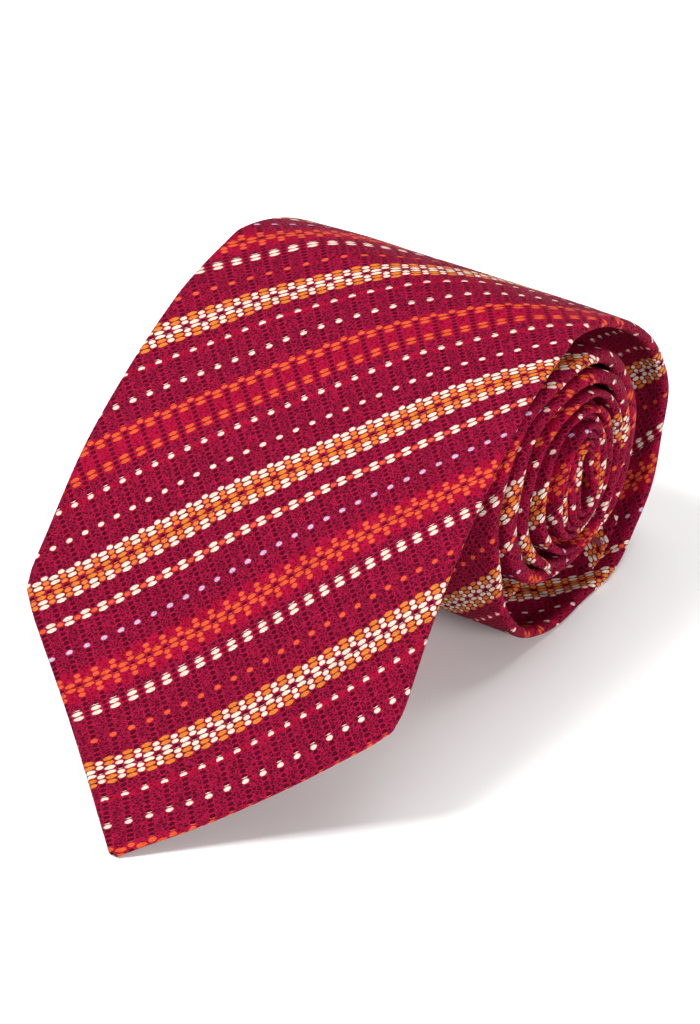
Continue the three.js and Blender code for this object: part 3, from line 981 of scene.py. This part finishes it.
class NECKTIE_OT_rolled_silk(bpy.types.Operator):
    """Make the silk inside the roll: the inner turns, the neck and the tail"""

    bl_idname = "necktie.rolled_silk"
    bl_label = "Rolled silk"

    def execute(self, context):
        sizes = sizes_in_mm()
        line = ClothLine(sizes)
        blade = line.blade_rows(line.seam_at - 0.6).every(4)
        rows = Rows.joined(line.tail_rows().every(4), line.fold_rows(), blade)
        piece = shell_piece("silk_rolled", rows, sizes)
        nodes = ("front_blade_outer_turn", "front_blade_inner_turns", "neck", "tail_blade")
        settle(piece, "roll", "silk", "silk_cloth", *nodes)
        return {"FINISHED"}


class NECKTIE_OT_interlining(bpy.types.Operator):
    """Make the wool interlining inside the shell"""

    bl_idname = "necktie.interlining"
    bl_label = "Interlining"

    def execute(self, context):
        line = ClothLine(sizes_in_mm())
        hanging = line.blade_rows(WOOL.from_blade, line.seam_at - 2).every(4)
        blade = line.blade_rows(line.seam_at - 1.5).every(3)
        rolled = Rows.joined(line.tail_rows(WOOL.from_tail).every(3), line.fold_rows(), blade)
        for name, rows, body, nodes in (
            ("wool_hanging", hanging, None, ["interlining_hanging"]),
            ("wool_rolled", rolled, "roll", ["interlining_blade", "interlining_tail"]),
        ):
            lifted = np.clip(-rows.back_puff / 0.6, 0, 1)
            folded = 1 - smooth(np.abs(rows.flat - line.blade_length), 60, 140)
            inset = WOOL.inset + WOOL.lifted_inset * lifted + WOOL.fold_inset * folded
            edge = np.maximum(rows.half - inset, 0.4)
            piece = strip_piece(name, rows, edge, -edge, WOOL.thickness / 2, WOOL.thickness)
            settle(piece, body, "wool", "wool_interlining", *nodes)
        return {"FINISHED"}


class NECKTIE_OT_tippings(bpy.types.Operator):
    """Make the tippings behind the two points"""

    bl_idname = "necktie.tippings"
    bl_label = "Tippings"

    def execute(self, context):
        sizes = sizes_in_mm()
        line = ClothLine(sizes)
        reach = BACK_OPENING + sizes.hem
        blade = line.blade_rows(TIPPING.from_point, sizes.blade_width / 2 + reach).every(2)
        tail = line.tail_rows(TIPPING.from_point, sizes.tail_width / 2 + reach).every(2)
        for name, rows, body, node in (
            ("tipping_blade", blade, "hanging_blade", "blade_tipping"),
            ("tipping_tail", tail, "roll", "tail_tipping"),
        ):
            edge = np.minimum(rows.half - TIPPING.inset, rows.gap + TIPPING.past_gap)
            piece = strip_piece(name, rows, edge, -edge, TIPPING.height, TIPPING.thickness)
            settle(piece, body, "tipping", "tipping_lining", node)
        return {"FINISHED"}


class NECKTIE_OT_stitching(bpy.types.Operator):
    """Make the slip stitch along the back, and the tacks that hold its ends and the keeper"""

    bl_idname = "necktie.stitching"
    bl_label = "Stitching"

    def execute(self, context):
        sizes = sizes_in_mm()
        line = ClothLine(sizes)
        hanging = line.blade_rows(STITCH.from_blade, line.seam_at - 2)
        blade = line.blade_rows(line.seam_at - 1.5)
        rolled = Rows.joined(line.tail_rows(STITCH.from_tail), line.fold_rows(), blade)
        self.sew_seam("slip_stitch_front", hanging, None, "slip_stitch_hanging", sizes)
        self.sew_seam("slip_stitch_back", rolled, "roll", "slip_stitch_rolled", sizes)
        self.sew_tack(line.blade_rows(101, 105), 0, 5.0, 1.2, "blade_bar_tack", "hanging_blade")
        self.sew_tack(line.tail_rows(56, 60), 0, 5.0, 1.2, "tail_bar_tack", "roll")
        low = -sizes.layer / 2 - 0.9
        out = KEEPER.clear + KEEPER.foot - KEEPER.tack_in
        for aside, node in ((-out, "keeper_tack_left"), (out, "keeper_tack_right")):
            self.sew_tack(line.blade_rows(*KEEPER.tacks), aside, 3.5, 1.5, node, "roll", low)
        return {"FINISHED"}

    def sew_seam(self, name, rows, body, node, sizes):
        """One thread along the slit, swinging from side to side under one back and the other."""
        phase = rows.flat * 2 * math.pi / STITCH.wave
        across = STITCH.swing * np.sin(phase)
        height = -sizes.layer / 2 + STITCH.bob - rows.room + STITCH.bob * np.cos(2 * phase)
        path = place(rows, across[:, None], height[:, None])[:, 0]
        piece = joined_piece(name, [thread_tube(path, STITCH.radius, 6)])
        settle(piece, body, "thread", "sewing_thread", node)

    def sew_tack(self, rows, aside, across, along, node, body, height=TACK.height):
        """Close turns of thread across the seam or the keeper's foot."""
        middle = len(rows) // 2
        point, normal = rows.point[middle], rows.normal[middle]
        forward = np.array([normal[1], -normal[0]])
        t = np.linspace(-0.5, 0.5, TACK.steps)[:, None]
        lift = height - rows.room[middle] - TACK.arch * np.cos(math.pi * t)
        path = point + forward * t * along + normal * lift
        parts = []
        for place_in_tack in np.linspace(-0.5, 0.5, TACK.turns):
            x = rows.middle[middle] + aside + across * place_in_tack
            parts.append(thread_tube(np.column_stack([np.full(TACK.steps, x), path]), TACK.radius))
        piece = joined_piece("sewn_" + node, parts)
        settle(piece, body, "thread", "sewing_thread", node)


class NECKTIE_OT_labels(bpy.types.Operator):
    """Make the two blank woven labels"""

    bl_idname = "necktie.labels"
    bl_label = "Labels"

    def execute(self, context):
        sizes = sizes_in_mm()
        line = ClothLine(sizes)
        rows = line.blade_rows(*MAKER_LABEL.places)
        face = -sizes.layer / 2 - 0.2 - rows.room
        piece = strip_piece("label_maker", rows, MAKER_LABEL.half, -MAKER_LABEL.half, face, TAPE_THICKNESS)
        settle(piece, "hanging_blade", "label", "woven_label", "maker_label")
        rows = line.blade_rows(*CARE_LABEL.places)
        left, right = CARE_LABEL.left, CARE_LABEL.left + CARE_LABEL.width
        piece = strip_piece("label_care", rows, right, left, CARE_LABEL.height, TAPE_THICKNESS)
        settle(piece, "hanging_blade", "label", "woven_label", "care_label")
        return {"FINISHED"}


class NECKTIE_OT_keeper(bpy.types.Operator):
    """Make the keeper loop across the back of the wide end"""

    bl_idname = "necktie.keeper"
    bl_label = "Keeper"

    def execute(self, context):
        sizes = sizes_in_mm()
        rows = ClothLine(sizes).blade_rows(*KEEPER.places).every(2)
        clear, foot = KEEPER.clear, KEEPER.foot
        low = -sizes.layer / 2 - 0.2
        band = -LAYER_PITCH - TAIL_ROOM.extra - sizes.layer / 2 - 0.3
        # One half of the band, from its foot on the back, down beside the tail and across under it.
        half = catmull(
            [
                (clear + foot, low),
                (clear + 1.2, low),
                (clear, low - 0.6),
                (clear - 0.6, band + 0.7),
                (clear - 2.0, band),
                (0, band - 0.15),
            ],
            6,
        )
        across = np.concatenate([half[:, 0], -half[::-1][1:, 0]])[None]
        height = np.concatenate([half[:, 1], half[::-1][1:, 1]])[None]
        points = place(rows, across, height)
        piece = make_cloth("keeper_band", points, across, rows, KEEPER.thickness)
        settle(piece, "roll", "silk", "silk_cloth", "keeper_loop")
        return {"FINISHED"}


FLOOR_HALF = 3.0
WORLD_LIGHT = 0.27
LIGHTS = [  # name, place in metres, size in metres, power in watts
    ("key", (-0.45, -0.45, 1.05), 0.45, 17.3),
    ("fill", (1.15, -0.40, 0.42), 0.45, 14.0),
    ("top", (0.1, 0.5, 1.2), 0.8, 8.0),
]
# The camera looks at its target from an angle round the tie, an angle up from the floor, and a distance.
CAMERA_TARGET = Vector((-12.3, CREST.y - 7.1, 13.5))
CAMERA_ROUND = 33.16
CAMERA_UP = 34.02
CAMERA_DISTANCE = 863.5
CAMERA_LENS = 145.5


class NECKTIE_OT_stage(bpy.types.Operator):
    """Make the pale floor, the studio lights and the camera"""

    bl_idname = "necktie.stage"
    bl_label = "Stage"

    def execute(self, context):
        self.make_floor()
        self.make_lights()
        self.make_camera()
        context.scene.view_settings.view_transform = "Standard"
        return {"FINISHED"}

    def make_floor(self):
        mesh = bpy.data.meshes.new("studio_floor")
        corners = [(x * FLOOR_HALF, y * FLOOR_HALF, 0) for x, y in ((-1, -1), (1, -1), (1, 1), (-1, 1))]
        mesh.from_pydata(corners, [], [(0, 1, 2, 3)])
        mesh.materials.append(material("floor"))
        floor = bpy.data.objects.new("studio_floor", mesh)
        bpy.context.scene.collection.objects.link(floor)

    def make_lights(self):
        world = bpy.data.worlds.new("studio")
        world.use_nodes = True
        background = world.node_tree.nodes["Background"]
        background.inputs["Color"].default_value = (1, 1, 1, 1)
        background.inputs["Strength"].default_value = WORLD_LIGHT
        bpy.context.scene.world = world
        for name, place_m, size, power in LIGHTS:
            light = bpy.data.lights.new(name, "AREA")
            light.size = size
            light.energy = power
            lamp = bpy.data.objects.new(name, light)
            lamp.location = place_m
            lamp.rotation_euler = Vector(place_m).to_track_quat("Z", "Y").to_euler()
            bpy.context.scene.collection.objects.link(lamp)

    def make_camera(self):
        azimuth, elevation = math.radians(CAMERA_ROUND), math.radians(CAMERA_UP)
        flat = math.cos(elevation)
        back = Vector((math.sin(azimuth) * flat, -math.cos(azimuth) * flat, math.sin(elevation)))
        data = bpy.data.cameras.new("camera")
        data.lens = CAMERA_LENS
        data.sensor_width = 36.0
        data.clip_end = 20.0
        camera = bpy.data.objects.new("camera", data)
        camera.location = (CAMERA_TARGET + back * CAMERA_DISTANCE) * MM
        camera.rotation_euler = back.to_track_quat("Z", "Y").to_euler()
        bpy.context.scene.collection.objects.link(camera)
        bpy.context.scene.camera = camera


class NECKTIE_PT_panel(bpy.types.Panel):
    """The necktie's settings and the steps that make it"""

    bl_label = "Necktie"
    bl_idname = "NECKTIE_PT_panel"
    bl_space_type = "VIEW_3D"
    bl_region_type = "UI"
    bl_category = "Necktie"

    def draw(self, context):
        necktie = context.scene.necktie
        for group in (necktie.sizes, necktie.colours):
            for name in type(group).__annotations__:
                self.layout.prop(group, name)
        for operator in OPERATORS:
            self.layout.operator(operator.bl_idname)


OPERATORS = (
    NECKTIE_OT_stage,
    NECKTIE_OT_hanging_silk,
    NECKTIE_OT_rolled_silk,
    NECKTIE_OT_interlining,
    NECKTIE_OT_tippings,
    NECKTIE_OT_stitching,
    NECKTIE_OT_labels,
    NECKTIE_OT_keeper,
)
CLASSES = (NecktieSizes, NecktieColours, NecktieSettings, *OPERATORS, NECKTIE_PT_panel)


def register():
    for cls in CLASSES:
        bpy.utils.register_class(cls)
    bpy.types.Scene.necktie = bpy.props.PointerProperty(type=NecktieSettings)


def unregister():
    del bpy.types.Scene.necktie
    for cls in reversed(CLASSES):
        bpy.utils.unregister_class(cls)


def main():
    register()
    bpy.ops.necktie.stage()
    bpy.ops.necktie.hanging_silk()
    bpy.ops.necktie.rolled_silk()
    bpy.ops.necktie.interlining()
    bpy.ops.necktie.tippings()
    bpy.ops.necktie.stitching()
    bpy.ops.necktie.labels()
    bpy.ops.necktie.keeper()


if __name__ == "__main__":
    main()
